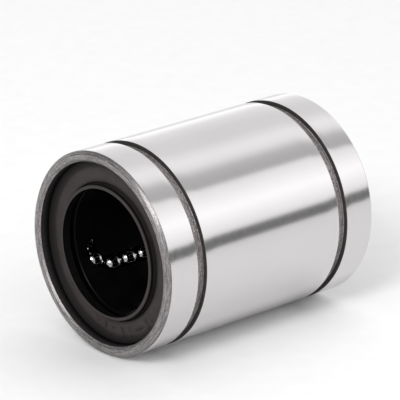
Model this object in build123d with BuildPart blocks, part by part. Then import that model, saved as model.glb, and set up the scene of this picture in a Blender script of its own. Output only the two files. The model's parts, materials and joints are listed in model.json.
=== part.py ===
from build123d import *
import os
from math import acos, cos, degrees, radians, sin

# A closed linear ball bushing for a 20 mm shaft, in millimetres. X is the shaft's axis, the front seal
# is at -X and the origin is the middle of the bore. Angles about X run from +Y towards +Z.

# Catalogue sizes of this bushing
shaft_radius = 10.0
sleeve_radius = 16.0
sleeve_length = 42.0
outer_groove_span = 30.5
outer_groove_width = 1.6
outer_groove_floor = 15.25
ball_radius = 3.175 / 2
circuit_count = 5

# Clearances
ball_to_shaft = 0.005
ball_to_raceway = 0.01
ball_to_channel = 0.13
ball_to_channel_wall = 0.055
cage_to_sleeve = 0.1

# Ball circuits: a loaded row and a return row, joined at each end by a half-circle turn
load_row_angle = -35.7
load_row_radius = shaft_radius + ball_to_shaft + ball_radius
return_row_radius = 12.3
turn_radius = 3.22
turn_tilt = 8.0
balls_per_row = 7
balls_per_turn = 3
ball_pitch = 3.2
row_half_length = balls_per_row * ball_pitch / 2
turn_step = 180 / balls_per_turn
rest_phase = 0.39

# Sleeve
end_chamfer = 0.5
mouth_chamfer = 0.35
raceway_radius = load_row_radius + ball_radius + ball_to_raceway
raceway_width = 3.7
relief_radius = 14.0
seal_seat_radius = 14.35
inner_groove_start = 17.3
inner_groove_width = 0.85
inner_groove_floor = 14.85

# Cage
cage_length = 34.4
cage_bore_radius = 10.5
cage_bore_chamfer = 0.15
cage_radius = relief_radius - cage_to_sleeve
key_slot_floor = 13.0
key_slot_width = raceway_width + 0.5
channel_radius = ball_radius + ball_to_channel
channel_wall = ball_radius + ball_to_channel_wall
channel_wall_start = 0.2
channel_corner_radius = channel_radius + 0.04

# Side rings, which hold the cage in the sleeve
side_ring_thickness = 0.8
side_ring_bore = 12.4
side_ring_radius = 14.75
side_ring_gap = 3.0

# Seals: a steel core with rubber moulded over its face and rim
core_inner_radius = 11.6
core_outer_radius = 14.1
core_thickness = 0.35
seal_back = 18.2
seal_face = 18.9
seal_rim = 18.8
seal_rim_radius = 14.2
crevice_mouth_radius = 10.95
crevice_floor = 18.5
crevice_outer_radius = 10.85
crevice_inner_radius = 10.7
lip_shoulder = 19.82
lip_shoulder_radius = 10.57
lip_tip = 19.9
lip_tip_width = 0.1
lip_land = 0.25
seal_back_bore_radius = 10.4

circuit_spacing = 360 / circuit_count
along_shaft = Vector(1, 0, 0)


def save(part, name):
    part.label = name
    export_step(part, f"parts/{name}.step")


def around(radius, angle):
    return Vector(0, radius * cos(radians(angle)), radius * sin(radians(angle)))


# The angle between the two rows puts their centres one turn diameter apart.
row_gap_angle = degrees(acos(
    (load_row_radius**2 + return_row_radius**2 - (2 * turn_radius) ** 2)
    / (2 * load_row_radius * return_row_radius)
))


def circuit_frame(angle):
    """The middle of a circuit at x = 0, its direction across both rows, and its outward direction."""
    load_row = around(load_row_radius, angle)
    return_row = around(return_row_radius, angle + row_gap_angle)
    across = (return_row - load_row).normalized()
    return (load_row + return_row) / 2, across, across.cross(along_shaft)


def turn_frame(angle, side):
    """The centre of a turn, the direction back to the loaded row, and the direction to its far point."""
    middle, across, outward = circuit_frame(angle)
    centre = middle + along_shaft * (side * row_half_length)
    far = along_shaft * (side * cos(radians(turn_tilt))) + outward * sin(radians(turn_tilt))
    return centre, -across, far


def row_centres(radius, angle, shift):
    first = shift - (balls_per_row - 1) / 2 * ball_pitch
    return [around(radius, angle) + along_shaft * (first + i * ball_pitch) for i in range(balls_per_row)]


def turn_centres(angle, side, phase):
    centre, to_load, far = turn_frame(angle, side)
    swept = [radians(turn_step * (i + 0.5 + phase)) for i in range(balls_per_turn)]
    return [centre + (to_load * cos(s) + far * sin(s)) * turn_radius for s in swept]


def ball_group(centres, name):
    with BuildPart() as balls:
        with Locations(*centres):
            Sphere(ball_radius)
    save(balls.part, name)


os.makedirs("parts", exist_ok=True)

# Outer sleeve: turned and ground, with two outer snap-ring grooves and two inner ring grooves.
half_length = sleeve_length / 2
outer_groove_far = outer_groove_span / 2
outer_groove_near = outer_groove_far - outer_groove_width
inner_groove_end = inner_groove_start + inner_groove_width
with BuildPart() as sleeve:
    with BuildSketch(Plane.XY):
        with BuildLine():
            Polyline(
                (0, relief_radius),
                (inner_groove_start, relief_radius),
                (inner_groove_start, inner_groove_floor),
                (inner_groove_end, inner_groove_floor),
                (inner_groove_end, seal_seat_radius),
                (half_length - mouth_chamfer, seal_seat_radius),
                (half_length, seal_seat_radius + mouth_chamfer),
                (half_length, sleeve_radius - end_chamfer),
                (half_length - end_chamfer, sleeve_radius),
                (outer_groove_far, sleeve_radius),
                (outer_groove_far, outer_groove_floor),
                (outer_groove_near, outer_groove_floor),
                (outer_groove_near, sleeve_radius),
                (0, sleeve_radius),
                close=True,
            )
        make_face()
        mirror(about=Plane.YZ)
    revolve(axis=Axis.X)
    # Raised raceways, one over each loaded row. The return rows run in the relief between them.
    with BuildSketch(Plane.YZ.offset(-row_half_length)):
        with PolarLocations(relief_radius, circuit_count, start_angle=load_row_angle):
            Rectangle(2.4, raceway_width)
        Circle(relief_radius + 0.2, mode=Mode.INTERSECT)
        Circle(raceway_radius, mode=Mode.SUBTRACT)
    extrude(amount=2 * row_half_length)
save(sleeve.part, "outer_sleeve")

# Channel of one ball circuit, cut from the cage once for each circuit. It is open outwards, and where
# the loaded row dips through the cage's bore it leaves a slot narrower than a ball.
middle, across, outward = circuit_frame(load_row_angle)
with BuildPart() as channel:
    with BuildSketch(Plane(middle + outward * channel_wall_start, x_dir=along_shaft, z_dir=outward)):
        SlotCenterToCenter(2 * row_half_length, 2 * (turn_radius + channel_wall))
        SlotCenterToCenter(2 * row_half_length, 2 * (turn_radius - channel_wall), mode=Mode.SUBTRACT)
    extrude(amount=cage_radius - load_row_radius + 1)
    for row_side in (-1, 1):
        row_middle = middle + across * (row_side * turn_radius)
        with BuildSketch(Plane(origin=row_middle - along_shaft * row_half_length, z_dir=along_shaft)):
            Circle(channel_radius)
        extrude(amount=2 * row_half_length)
        with Locations(row_middle - along_shaft * row_half_length, row_middle + along_shaft * row_half_length):
            Sphere(channel_corner_radius)
    for side in (-1, 1):
        centre, to_load, far = turn_frame(load_row_angle, side)
        with BuildSketch(Plane(origin=centre + to_load * turn_radius, z_dir=far)):
            Circle(channel_radius)
        revolve(axis=Axis(centre, to_load.cross(far)), revolution_arc=180)

# Cage: keyed between the sleeve's raceways by shallow slots along its outside.
with BuildPart() as cage:
    with BuildSketch(Plane.YZ.offset(-cage_length / 2)):
        Circle(cage_radius)
        Circle(cage_bore_radius, mode=Mode.SUBTRACT)
    extrude(amount=cage_length)
    bore_edges = cage.edges().filter_by(GeomType.CIRCLE)
    chamfer(bore_edges.filter_by(lambda edge: edge.radius < cage_radius - 1), cage_bore_chamfer)
    with BuildSketch(Plane.YZ.offset(-cage_length / 2)):
        with PolarLocations(cage_radius, circuit_count, start_angle=load_row_angle):
            Rectangle(3.0, key_slot_width)
        Circle(key_slot_floor, mode=Mode.SUBTRACT)
    extrude(amount=cage_length, mode=Mode.SUBTRACT)
    for circuit in range(circuit_count):
        add(channel.part.rotate(Axis.X, circuit * circuit_spacing), mode=Mode.SUBTRACT)
save(cage.part, "ball_cage")

# Each end has a split side ring in the sleeve's inner groove, and a pressed-in seal.
seal_outline = [
    (seal_back, core_inner_radius),
    (seal_back + core_thickness, core_inner_radius),
    (seal_back + core_thickness, core_outer_radius),
    (seal_back, core_outer_radius),
    (seal_back, seal_seat_radius),
    (seal_rim, seal_seat_radius),
    (seal_face, seal_rim_radius),
    (seal_face, crevice_mouth_radius),
    (crevice_floor, crevice_outer_radius),
    (crevice_floor, crevice_inner_radius),
    (lip_shoulder, lip_shoulder_radius),
    (lip_tip, shaft_radius + lip_tip_width),
    (lip_tip, shaft_radius),
    (lip_tip - lip_land, shaft_radius),
    (seal_back, seal_back_bore_radius),
]
for end, side in (("front", -1), ("rear", 1)):
    ring_start = side * (inner_groove_start + inner_groove_width / 2) - side_ring_thickness / 2
    with BuildPart() as side_ring:
        with BuildSketch(Plane.YZ.offset(ring_start)):
            Circle(side_ring_radius)
            Circle(side_ring_bore, mode=Mode.SUBTRACT)
            with Locations((0, -side_ring_bore)):
                Rectangle(side_ring_gap, 3 * side_ring_gap, mode=Mode.SUBTRACT)
        extrude(amount=side_ring_thickness)
    save(side_ring.part, f"side_ring_{end}")

    with BuildPart() as seal_core:
        with BuildSketch(Plane.YZ.offset(side * seal_back)):
            Circle(core_outer_radius)
            Circle(core_inner_radius, mode=Mode.SUBTRACT)
        extrude(amount=side * core_thickness)
    save(seal_core.part, f"seal_core_{end}")

    with BuildPart() as seal:
        with BuildSketch(Plane.XY):
            with BuildLine():
                Polyline([(side * x, radius) for x, radius in seal_outline], close=True)
            make_face()
        revolve(axis=Axis.X)
    save(seal.part, f"seal_{end}")

# Balls, in the groups that move together. At rest each group stands rest_phase of a pitch past the
# middle of its travel, counted towards the front on the loaded row and the same way round the circuit.
for circuit in range(circuit_count):
    angle = load_row_angle + circuit * circuit_spacing
    name = f"circuit_{circuit + 1}"
    shift = rest_phase * ball_pitch
    ball_group(row_centres(load_row_radius, angle, -shift), f"{name}_load_balls")
    ball_group(turn_centres(angle, -1, rest_phase), f"{name}_front_turn_balls")
    ball_group(row_centres(return_row_radius, angle + row_gap_angle, shift), f"{name}_return_balls")
    ball_group(turn_centres(angle, 1, -rest_phase), f"{name}_rear_turn_balls")
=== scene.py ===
import json
from math import atan2, cos, pi, radians, sin, tan

import bmesh
import bpy
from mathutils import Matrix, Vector


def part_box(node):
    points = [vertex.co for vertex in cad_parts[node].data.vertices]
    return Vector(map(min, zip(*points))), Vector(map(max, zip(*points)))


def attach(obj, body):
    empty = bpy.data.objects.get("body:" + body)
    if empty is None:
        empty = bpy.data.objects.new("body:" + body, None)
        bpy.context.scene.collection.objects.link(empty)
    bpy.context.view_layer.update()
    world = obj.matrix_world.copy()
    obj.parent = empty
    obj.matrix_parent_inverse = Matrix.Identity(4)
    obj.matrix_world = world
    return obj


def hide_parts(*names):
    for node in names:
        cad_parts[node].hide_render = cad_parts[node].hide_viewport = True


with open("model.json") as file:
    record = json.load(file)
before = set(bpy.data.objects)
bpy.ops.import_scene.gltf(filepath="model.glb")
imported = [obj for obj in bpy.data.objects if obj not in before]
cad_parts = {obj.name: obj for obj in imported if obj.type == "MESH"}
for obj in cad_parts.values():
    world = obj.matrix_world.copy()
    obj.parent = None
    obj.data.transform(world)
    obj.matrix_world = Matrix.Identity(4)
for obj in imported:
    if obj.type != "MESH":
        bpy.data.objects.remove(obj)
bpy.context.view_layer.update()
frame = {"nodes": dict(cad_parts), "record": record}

MM = 0.001
ROOT = "bushing"
CIRCUITS = 5
# The room at each side of a side ring in its groove
RING_CLEARANCE = 0.025 * MM

# Sizes read from the frame, in metres
mounts = {mount["name"]: mount for mount in frame["record"]["mounts"]}
HALF_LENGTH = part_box("outer_sleeve")[1].x
OUTER_RADIUS = mounts["housing_seat"]["dims"]["r_mm"] * MM
SHAFT_RADIUS = mounts["shaft_bore"]["dims"]["r_mm"] * MM
GROOVE_NEAR = mounts["housing_seat"]["dims"]["length_mm"] * MM / 2
GROOVE_FAR = 2 * mounts["rear_snap_ring_groove"]["pos_m"][0] - GROOVE_NEAR
SEAL_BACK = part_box("seal_rear")[0].x
LIP_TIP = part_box("seal_rear")[1].x
SEAL_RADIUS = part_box("seal_rear")[1].z
RING_GROOVE_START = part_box("side_ring_rear")[0].x - RING_CLEARANCE
RING_GROOVE_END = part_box("side_ring_rear")[1].x + RING_CLEARANCE

# Sizes of the sleeve's section, in metres
ROW_HALF_LENGTH = 11.2 * MM
GROOVE_FLOOR = 15.25 * MM
END_CHAMFER = 0.5 * MM
MOUTH_CHAMFER = 0.35 * MM
INNER_GROOVE_FLOOR = 14.85 * MM
RELIEF_RADIUS = 14.0 * MM
RACEWAY_RADIUS = 13.19 * MM
RACEWAY_WIDTH = 3.7 * MM
RACEWAY_RAMP = 0.3 * MM
EDGE_BREAK = 0.1 * MM
RIM_EDGE = 0.12 * MM

# Sizes of the seals' section, in metres: distances from the middle of the part and radii
SEAL_FACE = 18.9 * MM
FACE_LOW = 13.3 * MM
FACE_DROP = 0.25 * MM
FACE_RISE = 0.8 * MM
EDGE_GROOVE_INNER = 14.2 * MM
EDGE_GROOVE_FLOOR = 18.7 * MM
CREVICE_MOUTH = 10.88 * MM
CREVICE_OUTER = 10.82 * MM
CREVICE_INNER = 10.7 * MM
CREVICE_FLOOR = 18.5 * MM
LIP_SHOULDER = 19.82 * MM
LIP_OUTER = 10.57 * MM
LIP_TIP_WIDTH = 0.1 * MM
LIP_LAND = 0.25 * MM
SEAL_BACK_BORE = 10.4 * MM
CORE_INNER = 11.6 * MM
CORE_OUTER = 14.1 * MM
CORE_THICKNESS = 0.35 * MM
RUBBER_EDGE = 0.05 * MM
LIP_SHOULDER_EDGE = 0.2 * MM
LIP_TIP_EDGE = 0.06 * MM
LIP_CORNER_EDGE = 0.03 * MM

# Where the rubber's painted shade on the lip's side, round the crevice and toward the rim starts and ends, in
# metres: distances from the middle of the part, then radii
LIP_SIDE_SHADED = 19.75 * MM
LIP_TIP_UNSHADED = 19.84 * MM
LIP_BASE_SHADE_LIGHT = 19.32 * MM
LIP_BASE_SHADED = 19.48 * MM
LIP_ZONE_END = 10.6 * MM
FACE_ZONE_START = 10.8 * MM
FACE_ZONE_FULL = 10.87 * MM
FACE_UNSHADED_START = 11.35 * MM
FACE_RIM_SHADE_START = 12.9 * MM
FACE_DARK_START = 14.3 * MM

# Where the painted shade on the wall outside a seal is black and where it ends, in metres from the middle of
# the part
SEAT_SHADE_FULL = 19.4 * MM
SEAT_SHADE_NONE = 20.2 * MM

SLEEVE_STEPS = 720
SEAL_STEPS = 900
ROUND_STEPS_STEEL = 4
ROUND_STEPS_RUBBER = 3


# ---------------------------------------------------------------- shader helpers


class Shader:
    """A Principled material whose colour, roughness and relief come from a few named node chains.

    Its constants are named after the sockets, with an underscore for each space."""

    def __init__(self, name, **constants):
        self.material = bpy.data.materials.new(name)
        self.material.use_nodes = True
        self.tree = self.material.node_tree
        self.main = self.tree.nodes["Principled BSDF"]
        for socket, value in constants.items():
            self.main.inputs[socket.replace("_", " ")].default_value = value

    def node(self, kind, inputs=(), **settings):
        made = self.tree.nodes.new(kind)
        for key, value in settings.items():
            setattr(made, key, value)
        for socket, value in dict(inputs).items():
            if isinstance(value, bpy.types.NodeSocket):
                self.tree.links.new(value, made.inputs[socket])
            else:
                made.inputs[socket].default_value = value
        return made

    def math(self, operation, first, second=0.0):
        return self.node("ShaderNodeMath", {0: first, 1: second}, operation=operation).outputs[0]

    def place(self):
        """Object coordinates, in metres."""
        return self.node("ShaderNodeTexCoord").outputs["Object"]

    def around_axis(self):
        """x, the distance from the X axis and the angle about it, as three sockets."""
        parts = self.node("ShaderNodeSeparateXYZ", {0: self.place()}).outputs
        flat = self.node("ShaderNodeCombineXYZ", {1: parts[1], 2: parts[2]}).outputs[0]
        radius = self.node("ShaderNodeVectorMath", {0: flat}, operation="LENGTH").outputs["Value"]
        angle = self.math("ARCTAN2", parts[2], parts[1])
        return parts[0], radius, angle

    def combine(self, x, y, z):
        return self.node("ShaderNodeCombineXYZ", {0: x, 1: y, 2: z}).outputs[0]

    def noise(self, vector, scale, detail, roughness=0.5):
        settings = {"Vector": vector, "Scale": scale, "Detail": detail, "Roughness": roughness}
        return self.node("ShaderNodeTexNoise", settings).outputs["Fac"]

    def spread(self, value, low, high, from_low=0.3, from_high=0.7):
        """Maps a value's own range to the range from low to high, and holds it there beyond the ends."""
        source = {"Value": value, "From Min": from_low, "From Max": from_high}
        return self.node("ShaderNodeMapRange", {**source, "To Min": low, "To Max": high}).outputs["Result"]

    def colours(self, value, *stops):
        ramp = self.node("ShaderNodeValToRGB", {"Fac": value})
        elements = ramp.color_ramp.elements
        while len(elements) < len(stops):
            elements.new(0.5)
        for element, (at, colour) in zip(elements, stops):
            element.position = at
            element.color = (*colour, 1.0)
        return ramp.outputs["Color"]

    def link(self, socket, value):
        self.tree.links.new(value, self.main.inputs[socket])

    def relief(self, height, strength, distance):
        settings = {"Height": height, "Strength": strength, "Distance": distance}
        self.link("Normal", self.node("ShaderNodeBump", settings).outputs["Normal"])


def grey(level, warmth=0.0):
    return (level * (1 + warmth), level, level)


# ---------------------------------------------------------------- materials


def ground_steel():
    """Centreless-ground and lapped bearing steel: near mirror, with very fine rings round the barrel."""
    made = Shader("ground_steel", Metallic=1.0)
    x, radius, angle = made.around_axis()
    rings = made.noise(made.combine(x, made.math("MULTIPLY", angle, 0.0006), 0.0), 9000.0, 3.0, 0.6)
    cloud = made.noise(made.place(), 90.0, 2.0)
    tone = made.math("ADD", made.math("MULTIPLY", rings, 0.5), made.math("MULTIPLY", cloud, 0.5))
    made.link("Base Color", made.colours(tone, (0.3, (0.615, 0.600, 0.605)), (0.7, (0.645, 0.630, 0.635))))
    made.link("Roughness", made.spread(rings, 0.12, 0.17))
    made.relief(rings, 0.05, 0.00002)
    return made.material


def turned_steel(name, smoothest, roughest):
    """The ends as turned and hardened, never ground: concentric tool marks, scale and small pits."""
    made = Shader(name, Metallic=1.0)
    x, radius, angle = made.around_axis()
    marks = made.noise(made.combine(x, radius, made.math("MULTIPLY", angle, 0.0013)), 7500.0, 3.0, 0.65)
    rings = made.noise(made.combine(x, radius, 0.0), 5000.0, 1.0)
    pits = made.noise(made.place(), 5600.0, 4.0, 0.75)
    tone = made.math("ADD", made.math("MULTIPLY", marks, 0.38), made.math("MULTIPLY", pits, 0.42))
    tone = made.math("ADD", tone, made.math("MULTIPLY", rings, 0.2))
    made.link("Base Color", made.colours(
        tone,
        (0.37, grey(0.07, 0.06)),
        (0.47, grey(0.2, 0.06)),
        (0.55, grey(0.34, 0.06)),
        (0.64, grey(0.6, 0.03)),
    ))
    made.link("Roughness", made.spread(pits, smoothest, roughest))
    made.relief(tone, 0.5, 0.00006)
    return made.material


def groove_steel():
    """The snap-ring groove's floor: dull grey steel with a coarse grain."""
    made = Shader("groove_steel", Metallic=0.85)
    x, radius, angle = made.around_axis()
    grain = made.noise(made.place(), 4200.0, 4.0, 0.75)
    marks = made.noise(made.combine(x, radius, made.math("MULTIPLY", angle, 0.001)), 6000.0, 2.0)
    tone = made.math("ADD", made.math("MULTIPLY", grain, 0.7), made.math("MULTIPLY", marks, 0.3))
    made.link("Base Color", made.colours(
        tone, (0.38, grey(0.11, 0.1)), (0.5, grey(0.26, 0.1)), (0.62, grey(0.55, 0.07))
    ))
    made.link("Roughness", made.spread(grain, 0.42, 0.6))
    made.relief(grain, 0.6, 0.00005)
    return made.material


def dark_steel(name, tone, shaded=None):
    """Walls made darker than the other steel: the sides of the snap-ring grooves and the seals' seats.

    The darkness is partly hardening scale and partly painted shade of the hollows they stand in.
    shaded gives the distances from the middle at which a wall's painted shade is black and at which it ends."""
    made = Shader(name, Metallic=0.6)
    grain = share = made.noise(made.place(), 3600.0, 3.0, 0.7)
    if shaded:
        x, radius, angle = made.around_axis()
        # Painted shade: the wall darkens to black with depth, toward the seal.
        share = made.math("MULTIPLY", grain, made.spread(made.math("ABSOLUTE", x), 0.0, 1.0, *shaded))
    made.link("Base Color", made.colours(
        share, (0.0, grey(0.0)), (0.35, grey(0.4 * tone, 0.12)), (0.65, grey(tone, 0.12))
    ))
    made.link("Roughness", made.spread(grain, 0.5, 0.65))
    made.relief(grain, 0.4, 0.00004)
    return made.material


def seal_rubber():
    """Moulded nitrile rubber: matt near-black and faintly mottled, with painted shade on the lip's side,
    round its crevice and toward its rim.
    """
    made = Shader("seal_rubber", Metallic=0.0, Specular_IOR_Level=0.1)
    place = made.place()
    x, radius, angle = made.around_axis()
    mottle = made.noise(place, 420.0, 3.0)
    grain = made.noise(place, 9000.0, 3.0, 0.6)
    tone = made.math("ADD", made.math("MULTIPLY", mottle, 0.7), made.math("MULTIPLY", grain, 0.3))
    height = made.math("ABSOLUTE", x)
    # Painted shade: the lip's side below its tip is dark, and the face is darker next to the crevice and
    # toward the sleeve's wall.
    on_face = made.spread(radius, 0.0, 1.0, FACE_ZONE_START, FACE_ZONE_FULL)
    lip_tip = made.spread(height, 0.06, 1.0, LIP_SIDE_SHADED, LIP_TIP_UNSHADED)
    lip_base = made.spread(height, 0.7, 0.06, LIP_BASE_SHADE_LIGHT, LIP_BASE_SHADED)
    open_side = made.math("MAXIMUM", made.math("MAXIMUM", lip_tip, lip_base), on_face)
    lip_zone = made.spread(radius, 0.96, 0.72, LIP_ZONE_END, FACE_ZONE_FULL)
    face_zone = made.spread(radius, 0.72, 1.0, FACE_ZONE_FULL, FACE_UNSHADED_START)
    # Painted shade toward the rim, where the sleeve's wall shades the face.
    outer_zone = made.spread(radius, 1.0, 0.05, FACE_RIM_SHADE_START, FACE_DARK_START)
    crevice_and_rim_shade = made.math("MULTIPLY", outer_zone, made.math("MAXIMUM", lip_zone, face_zone))
    shade = made.math("MULTIPLY", made.spread(tone, 0.8, 1.0), made.math("MULTIPLY", open_side, crevice_and_rim_shade))
    made.link("Base Color", made.colours(
        shade, (0.0, (0.0012, 0.0011, 0.0011)), (0.55, (0.022, 0.0187, 0.0183)), (1.0, (0.062, 0.0538, 0.053))
    ))
    made.link("Roughness", made.spread(mottle, 0.55, 0.68))
    made.relief(grain, 0.25, 0.00002)
    return made.material


def shaded_rubber():
    """The same rubber inside the lip, painted near-black as shade: a shaded copy of seal_rubber."""
    made = Shader("shaded_rubber", Metallic=0.0, Specular_IOR_Level=0.1)
    mottle = made.noise(made.place(), 420.0, 3.0)
    made.link("Base Color", made.colours(mottle, (0.35, grey(0.0008)), (0.65, grey(0.0015))))
    made.link("Roughness", made.spread(mottle, 0.6, 0.7))
    return made.material


def cage_plastic():
    """Injection-moulded black cage plastic, slightly glossy with an oil film; its colour is kept darker than
    black plastic's, partly as painted shade inside the bore.
    """
    made = Shader("cage_plastic", Metallic=0.0, IOR=1.5, Specular_IOR_Level=0.06)
    place = made.place()
    film = made.noise(place, 300.0, 2.0)
    grain = made.noise(place, 6000.0, 2.0)
    # Partly painted shade: the black plastic's colour is darkened further to stand in for the shade inside
    # the bore.
    made.link("Base Color", made.colours(film, (0.35, grey(0.0012)), (0.65, grey(0.0022))))
    made.link("Roughness", made.spread(film, 0.3, 0.4))
    made.relief(grain, 0.15, 0.00002)
    return made.material


def ball_steel():
    """Lapped chrome-steel balls with a trace of oil; their colour is kept darker than chrome steel's as
    painted shade of the dark bore they lie in.
    """
    made = Shader("ball_steel", Metallic=1.0)
    film = made.noise(made.place(), 900.0, 2.0)
    # Painted shade: darker than bare chrome steel, so the balls' reflection of the bore's bright open ends
    # stays dim.
    made.link("Base Color", made.colours(film, (0.3, grey(0.38)), (0.7, grey(0.44))))
    made.link("Roughness", made.spread(film, 0.03, 0.07))
    return made.material


def ring_steel():
    """Phosphated spring steel and the seals' steel cores."""
    made = Shader("ring_steel", Metallic=0.9)
    place = made.place()
    crystal = made.noise(place, 3200.0, 3.0, 0.7)
    cloud = made.noise(place, 350.0, 2.0)
    tone = made.math("ADD", made.math("MULTIPLY", crystal, 0.6), made.math("MULTIPLY", cloud, 0.4))
    made.link("Base Color", made.colours(tone, (0.35, grey(0.08)), (0.65, grey(0.2))))
    made.link("Roughness", made.spread(crystal, 0.4, 0.55))
    made.relief(crystal, 0.3, 0.00003)
    return made.material


# ---------------------------------------------------------------- lathe work

# The finishes of the sleeve's and of the seals' surfaces, in the order of their materials
BORE, TURNED, GROUND, WALL, FLOOR, SEAT, CHAMFER = range(7)
# INNER_RUBBER is the rubber painted near-black as shade inside the lip.
OPEN_RUBBER, INNER_RUBBER = range(2)
SHARP_ANGLE = radians(32)


def section_points(corners, steps):
    """Walks round a closed section and returns its (x, radius, finish) points.

    A corner is (x, radius, size of its round, finish of the side after it, parts that side is cut into),
    and steps is how many parts a round is cut into."""
    points = []
    for i, (x, radius, size, finish, parts) in enumerate(corners):
        corner = Vector((x, radius))
        after = Vector(corners[(i + 1) % len(corners)][:2])
        to_before = (Vector(corners[i - 1][:2]) - corner).normalized()
        to_after = (after - corner).normalized()
        half = to_before.angle(to_after) / 2
        run = size / tan(half)
        centre = corner + (to_before + to_after).normalized() * (size / sin(half)) if size else corner
        first = corner + to_before * run - centre
        last = corner + to_after * run - centre
        for step in range(steps + 1) if size else [0]:
            spoke = first.lerp(last, step / steps).normalized() * size
            points.append((*(centre + spoke), finish))
        for part in range(1, parts):
            points.append((*(corner.lerp(after, part / parts)), finish))
    return points


def mirrored(half):
    """A whole section from its half at +x, whose first and last corners face their mirror images."""
    other = []
    for i in reversed(range(len(half))):
        x, radius, size, finish, parts = half[i]
        finish_after, parts_after = half[i - 1][3:] if i else (BORE, 1)
        other.append((-x, radius, size, finish_after, parts_after))
    return half + other


def lathe(name, points, materials, shape, steps):
    """Turns a closed section round the X axis. shape(x, radius, angle) moves single points of it."""
    vertices = []
    faces = []
    finishes = []
    for i, (x, radius, finish) in enumerate(points):
        near = i * steps
        far = (i + 1) % len(points) * steps
        for step in range(steps):
            angle = 2 * pi * step / steps
            at, out = shape(x, radius, angle)
            vertices.append((at, out * cos(angle), out * sin(angle)))
            after = (step + 1) % steps
            faces.append((near + step, near + after, far + after, far + step))
            finishes.append(finish)
    mesh = bpy.data.meshes.new(name)
    mesh.from_pydata(vertices, [], faces)
    for material in materials:
        mesh.materials.append(material)
    mesh.polygons.foreach_set("material_index", finishes)
    work = bmesh.new()
    work.from_mesh(mesh)
    bmesh.ops.recalc_face_normals(work, faces=work.faces)
    work.to_mesh(mesh)
    work.free()
    mesh.shade_smooth()
    mesh.set_sharp_from_angle(angle=SHARP_ANGLE)
    piece = bpy.data.objects.new(name, mesh)
    bpy.context.scene.collection.objects.link(piece)
    return piece


def row_angle(node):
    """The angle about X of a straight row of balls."""
    low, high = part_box(node)
    middle = (low + high) / 2
    return atan2(middle.z, middle.y)


def angle_between(first, second):
    return abs((first - second + pi) % (2 * pi) - pi)


# ---------------------------------------------------------------- the sleeve

RACEWAYS = [row_angle(f"circuit_{circuit}_load_balls") for circuit in range(1, CIRCUITS + 1)]


def with_raceways(x, radius, angle):
    """Raises the five raceways from the relief in the sleeve's bore."""
    inside = abs(x) < ROW_HALF_LENGTH - RACEWAY_RAMP / 2 and radius < SEAL_RADIUS
    on_track = any(angle_between(angle, track) * RACEWAY_RADIUS < RACEWAY_WIDTH / 2 for track in RACEWAYS)
    return x, RACEWAY_RADIUS if inside and on_track else radius


def make_sleeve():
    half = [
        (ROW_HALF_LENGTH - RACEWAY_RAMP, RELIEF_RADIUS, 0, BORE, 1),
        (ROW_HALF_LENGTH, RELIEF_RADIUS, 0, BORE, 1),
        (RING_GROOVE_START, RELIEF_RADIUS, 0, BORE, 1),
        (RING_GROOVE_START, INNER_GROOVE_FLOOR, 0, BORE, 1),
        (RING_GROOVE_END, INNER_GROOVE_FLOOR, 0, BORE, 1),
        (RING_GROOVE_END, SEAL_RADIUS, 0, SEAT, 1),
        (HALF_LENGTH - MOUTH_CHAMFER, SEAL_RADIUS, EDGE_BREAK, CHAMFER, 1),
        (HALF_LENGTH, SEAL_RADIUS + MOUTH_CHAMFER, RIM_EDGE, TURNED, 4),
        (HALF_LENGTH, OUTER_RADIUS - END_CHAMFER, RIM_EDGE, TURNED, 1),
        (HALF_LENGTH - END_CHAMFER, OUTER_RADIUS, EDGE_BREAK, GROUND, 4),
        (GROOVE_FAR, OUTER_RADIUS, EDGE_BREAK, WALL, 1),
        (GROOVE_FAR, GROOVE_FLOOR, EDGE_BREAK, FLOOR, 1),
        (GROOVE_NEAR, GROOVE_FLOOR, EDGE_BREAK, WALL, 1),
        (GROOVE_NEAR, OUTER_RADIUS, EDGE_BREAK, GROUND, 12),
    ]
    turned = turned_steel("turned_steel", 0.34, 0.52)
    chamfer = turned_steel("chamfer_steel", 0.36, 0.56)
    # Painted shade: both dark walls are darker partly as shade of their hollows, and the seat's deepens to
    # black toward the seal.
    wall = dark_steel("groove_wall_steel", 0.075)
    seat = dark_steel("seal_seat_steel", 0.055, (SEAT_SHADE_FULL, SEAT_SHADE_NONE))
    finishes = [turned, turned, ground_steel(), wall, groove_steel(), seat, chamfer]
    points = section_points(mirrored(half), ROUND_STEPS_STEEL)
    sleeve = lathe("sleeve", points, finishes, with_raceways, SLEEVE_STEPS)
    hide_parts("outer_sleeve")
    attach(sleeve, ROOT)


# ---------------------------------------------------------------- the seals

FACE_ROWS = 46
MARK_RISE = 0.3 * MM
MARK_EDGE = 0.09 * MM
# A point counts as the face's down to a little more than the face's own fall.
FACE_MARGIN = 1.1
# Plain moulding marks: angle in degrees, then width along the face and inner and outer radius in mm
MARKS = [
    (-147, 0.24, 11.7, 13.1),
    (-139, 0.24, 11.4, 12.7),
    (-132, 0.24, 11.6, 13.2),
    (-122, 1.6, 12.25, 12.5),
    (-111, 0.24, 11.7, 13.3),
    (-102, 0.24, 11.7, 13.3),
    (-92, 0.4, 11.9, 12.3),
    (-84, 0.24, 11.7, 12.8),
    (-76, 0.7, 11.9, 12.15),
]


def face_x(radius):
    """The seal's front face: it falls slightly away from the lip, then turns up against the sleeve."""
    falling = min((radius - CREVICE_MOUTH) / (FACE_LOW - CREVICE_MOUTH), 1.0)
    rising = max((radius - FACE_LOW) / (SEAL_RADIUS - FACE_LOW), 0.0)
    return SEAL_FACE - FACE_DROP * falling + FACE_RISE * rising**2


def soft_step(distance, edge):
    """1 inside a shape and 0 outside it, turning smoothly over the edge's width."""
    share = min(max(0.5 - distance / edge, 0.0), 1.0)
    return share * share * (3 - 2 * share)


def mark_height(radius, angle):
    highest = 0.0
    for at, width, low, high in MARKS:
        sideways = angle_between(angle, radians(at)) * radius - width * MM / 2
        lengthways = abs(radius - (low + high) * MM / 2) - (high - low) * MM / 2
        highest = max(highest, soft_step(max(sideways, lengthways), MARK_EDGE))
    return highest * MARK_RISE


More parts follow.
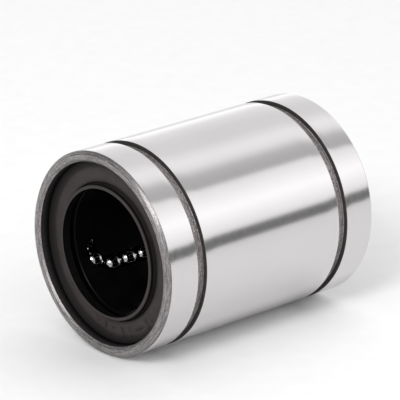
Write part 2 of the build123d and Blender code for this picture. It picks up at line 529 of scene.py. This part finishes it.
def make_seal(end, side, rubbers):
    corners = [
        (SEAL_BACK, CORE_INNER, 0, OPEN_RUBBER, 1),
        (SEAL_BACK + CORE_THICKNESS, CORE_INNER, 0, OPEN_RUBBER, 1),
        (SEAL_BACK + CORE_THICKNESS, CORE_OUTER, 0, OPEN_RUBBER, 1),
        (SEAL_BACK, CORE_OUTER, 0, OPEN_RUBBER, 1),
        (SEAL_BACK, SEAL_RADIUS, RUBBER_EDGE, OPEN_RUBBER, 1),
        (EDGE_GROOVE_FLOOR, SEAL_RADIUS, 0, OPEN_RUBBER, 1),
    ]
    for row in range(FACE_ROWS + 1):
        radius = EDGE_GROOVE_INNER + (CREVICE_MOUTH - EDGE_GROOVE_INNER) * row / FACE_ROWS
        corners.append((face_x(radius), radius, 0, OPEN_RUBBER, 1))
    corners += [
        (CREVICE_FLOOR, CREVICE_OUTER, RUBBER_EDGE, OPEN_RUBBER, 1),
        (CREVICE_FLOOR, CREVICE_INNER, RUBBER_EDGE, OPEN_RUBBER, 3),
        (LIP_SHOULDER, LIP_OUTER, LIP_SHOULDER_EDGE, OPEN_RUBBER, 2),
        (LIP_TIP, SHAFT_RADIUS + LIP_TIP_WIDTH, LIP_TIP_EDGE, OPEN_RUBBER, 1),
        (LIP_TIP, SHAFT_RADIUS, LIP_CORNER_EDGE, INNER_RUBBER, 1),
        (LIP_TIP - LIP_LAND, SHAFT_RADIUS, RUBBER_EDGE, INNER_RUBBER, 2),
        (SEAL_BACK, SEAL_BACK_BORE, RUBBER_EDGE, INNER_RUBBER, 1),
    ]

    def shape(x, radius, angle):
        on_face = x > SEAL_FACE - FACE_MARGIN * FACE_DROP and radius > CREVICE_MOUTH + MARK_EDGE
        raised = mark_height(radius, angle) if on_face else 0.0
        return side * (x + raised), radius

    points = section_points(corners, ROUND_STEPS_RUBBER)
    seal = lathe(f"seal_rubber_{end}", points, rubbers, shape, SEAL_STEPS)
    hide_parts(f"seal_{end}")
    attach(seal, ROOT)


# ---------------------------------------------------------------- CAD pieces that stay


def dress(node, material):
    """Gives a CAD node that keeps its own shape a finished material."""
    mesh = frame["nodes"][node].data
    mesh.materials.clear()
    mesh.materials.append(material)


def dress_cad_nodes():
    finish_of = {
        "ball_steel": ball_steel(),
        "cage_plastic": cage_plastic(),
        "ring_steel": ring_steel(),
    }
    for subpart in frame["record"]["subparts"]:
        if subpart["material_slot"] in finish_of:
            dress(subpart["node"], finish_of[subpart["material_slot"]])


# ---------------------------------------------------------------- studio


# The paper's half width and the place of its front edge along Y, in metres
FLOOR_SIZE = 3.0
FLOOR_EDGE = -0.305


def make_floor():
    """A sheet of pale paper. Its front edge shows in the barrel as the lower side of the dark strip."""
    mesh = bpy.data.meshes.new("floor")
    work = bmesh.new()
    bmesh.ops.create_grid(work, x_segments=2, y_segments=2, size=FLOOR_SIZE)
    work.to_mesh(mesh)
    work.free()
    paper = Shader("floor_paper", Metallic=0.0, Roughness=0.8, Specular_IOR_Level=0.2)
    fibre = paper.noise(paper.place(), 300.0, 2.0)
    paper.link("Base Color", paper.colours(fibre, (0.3, grey(0.86)), (0.7, grey(0.88))))
    mesh.materials.append(paper.material)
    floor = bpy.data.objects.new("floor", mesh)
    floor.location = (0, FLOOR_SIZE + FLOOR_EDGE, -OUTER_RADIUS)
    bpy.context.scene.collection.objects.link(floor)


# How bright the light tent is by the angle about the object's axis, in degrees from the back wall (0)
# over the top (90) to the front wall (180): a bright panel high at the front, a grey flag overhead and a
# dark strip low at the front, which the ground barrel shows as bands along its length.
TENT = [
    (-30, 1.5),
    (5, 1.45),
    (20, 1.1),
    (45, 1.0),
    (62, 1.02),
    (80, 1.3),
    (90, 1.2),
    (101, 0.72),
    (116, 0.58),
    (119, 1.18),
    (146, 1.6),
    (170, 1.2),
    (172.5, 0.2),
    (184, 0.2),
]
# The same for the tent's other end, past the front seal, where a softbox does most of the lighting.
TENT_END = [
    (-30, 0.3),
    (40, 0.35),
    (80, 0.7),
    (115, 0.9),
    (150, 0.9),
    (170, 0.6),
    (182, 0.4),
]
# The angle in the middle of both ramps, and the brightness of a ramp's white
TENT_MIDDLE = 90
TENT_WHITE = 2.0
# The x of a direction at which the tent's end gives way to its sides, from the first to the second
TENT_END_FULL = -0.35
TENT_SIDES_FULL = 0.15


def tent_colours(tree, share, levels):
    """The tent's colour for an angle, given as a share of a full turn, as a part of TENT_WHITE."""
    ramp = tree.nodes.new("ShaderNodeValToRGB")
    tree.links.new(share, ramp.inputs["Fac"])
    elements = ramp.color_ramp.elements
    while len(elements) < len(levels):
        elements.new(0.5)
    for element, (angle, level) in zip(elements, levels):
        element.position = (angle - TENT_MIDDLE + 180) / 360
        element.color = (*grey(level / TENT_WHITE), 1.0)
    return ramp.outputs["Color"]


def make_world():
    world = bpy.data.worlds.new("light_tent")
    world.use_nodes = True
    bpy.context.scene.world = world
    tree = world.node_tree
    background = tree.nodes["Background"]
    direction = tree.nodes.new("ShaderNodeTexCoord").outputs["Generated"]
    # Turning the directions puts the join of ARCTAN2 straight below the floor.
    turned = tree.nodes.new("ShaderNodeVectorRotate")
    turned.rotation_type = "X_AXIS"
    turned.inputs["Angle"].default_value = radians(-TENT_MIDDLE)
    tree.links.new(direction, turned.inputs["Vector"])
    parts = tree.nodes.new("ShaderNodeSeparateXYZ")
    tree.links.new(turned.outputs[0], parts.inputs[0])
    turn = tree.nodes.new("ShaderNodeMath")
    turn.operation = "ARCTAN2"
    tree.links.new(parts.outputs[2], turn.inputs[0])
    tree.links.new(parts.outputs[1], turn.inputs[1])
    share = tree.nodes.new("ShaderNodeMapRange")
    tree.links.new(turn.outputs[0], share.inputs["Value"])
    share.inputs["From Min"].default_value = -pi
    share.inputs["From Max"].default_value = pi
    along = tree.nodes.new("ShaderNodeMapRange")
    along.interpolation_type = "SMOOTHSTEP"
    tree.links.new(parts.outputs[0], along.inputs["Value"])
    along.inputs["From Min"].default_value = TENT_END_FULL
    along.inputs["From Max"].default_value = TENT_SIDES_FULL
    # Sockets 6, 7 and 2 of a Mix node are A, B and Result for colours.
    blend = tree.nodes.new("ShaderNodeMix")
    blend.data_type = "RGBA"
    tree.links.new(along.outputs["Result"], blend.inputs[0])
    tree.links.new(tent_colours(tree, share.outputs["Result"], TENT_END), blend.inputs[6])
    tree.links.new(tent_colours(tree, share.outputs["Result"], TENT), blend.inputs[7])
    tree.links.new(blend.outputs[2], background.inputs["Color"])
    background.inputs["Strength"].default_value = TENT_WHITE


# Round softboxes that face the part: name, place in metres, diameter in metres and power in watts
SOFTBOXES = [
    ("overhead_softbox", (-0.05, -0.05, 0.6), 0.3, 0.03),
    ("front_softbox", (-0.48, -0.25, 0.43), 0.22, 2.1),
]


def make_lights():
    for name, place, size, power in SOFTBOXES:
        light = bpy.data.lights.new(name, "AREA")
        light.shape = "DISK"
        light.size = size
        light.energy = power
        lamp = bpy.data.objects.new(name, light)
        lamp.location = place
        lamp.rotation_mode = "QUATERNION"
        lamp.rotation_quaternion = (-Vector(place)).to_track_quat("-Z", "Y")
        bpy.context.scene.collection.objects.link(lamp)


# The camera's direction from the part in degrees, its distance in metres, its lens in mm and its shift
# from that direction's line in metres
CAMERA_AZIMUTH = -41.6
CAMERA_ELEVATION = 20.2
CAMERA_DISTANCE = 0.4755
CAMERA_LENS = 277.2
CAMERA_RIGHT = -0.58 * MM
CAMERA_UP = 3.46 * MM


def make_camera():
    azimuth, elevation = radians(CAMERA_AZIMUTH), radians(CAMERA_ELEVATION)
    back = Vector((sin(azimuth) * cos(elevation), -cos(azimuth) * cos(elevation), sin(elevation)))
    right = Vector((cos(azimuth), sin(azimuth), 0))
    data = bpy.data.cameras.new("camera")
    data.lens = CAMERA_LENS
    data.clip_start = 0.01
    camera = bpy.data.objects.new("camera", data)
    camera.location = back * CAMERA_DISTANCE + right * CAMERA_RIGHT + back.cross(right) * CAMERA_UP
    camera.rotation_mode = "QUATERNION"
    camera.rotation_quaternion = (-back).to_track_quat("-Z", "Y")
    bpy.context.scene.collection.objects.link(camera)
    bpy.context.scene.camera = camera


make_camera()
make_floor()
make_world()
make_lights()
bpy.context.scene.view_settings.view_transform = "Standard"

make_sleeve()
rubbers = [seal_rubber(), shaded_rubber()]
make_seal("front", -1, rubbers)
make_seal("rear", 1, rubbers)
dress_cad_nodes()
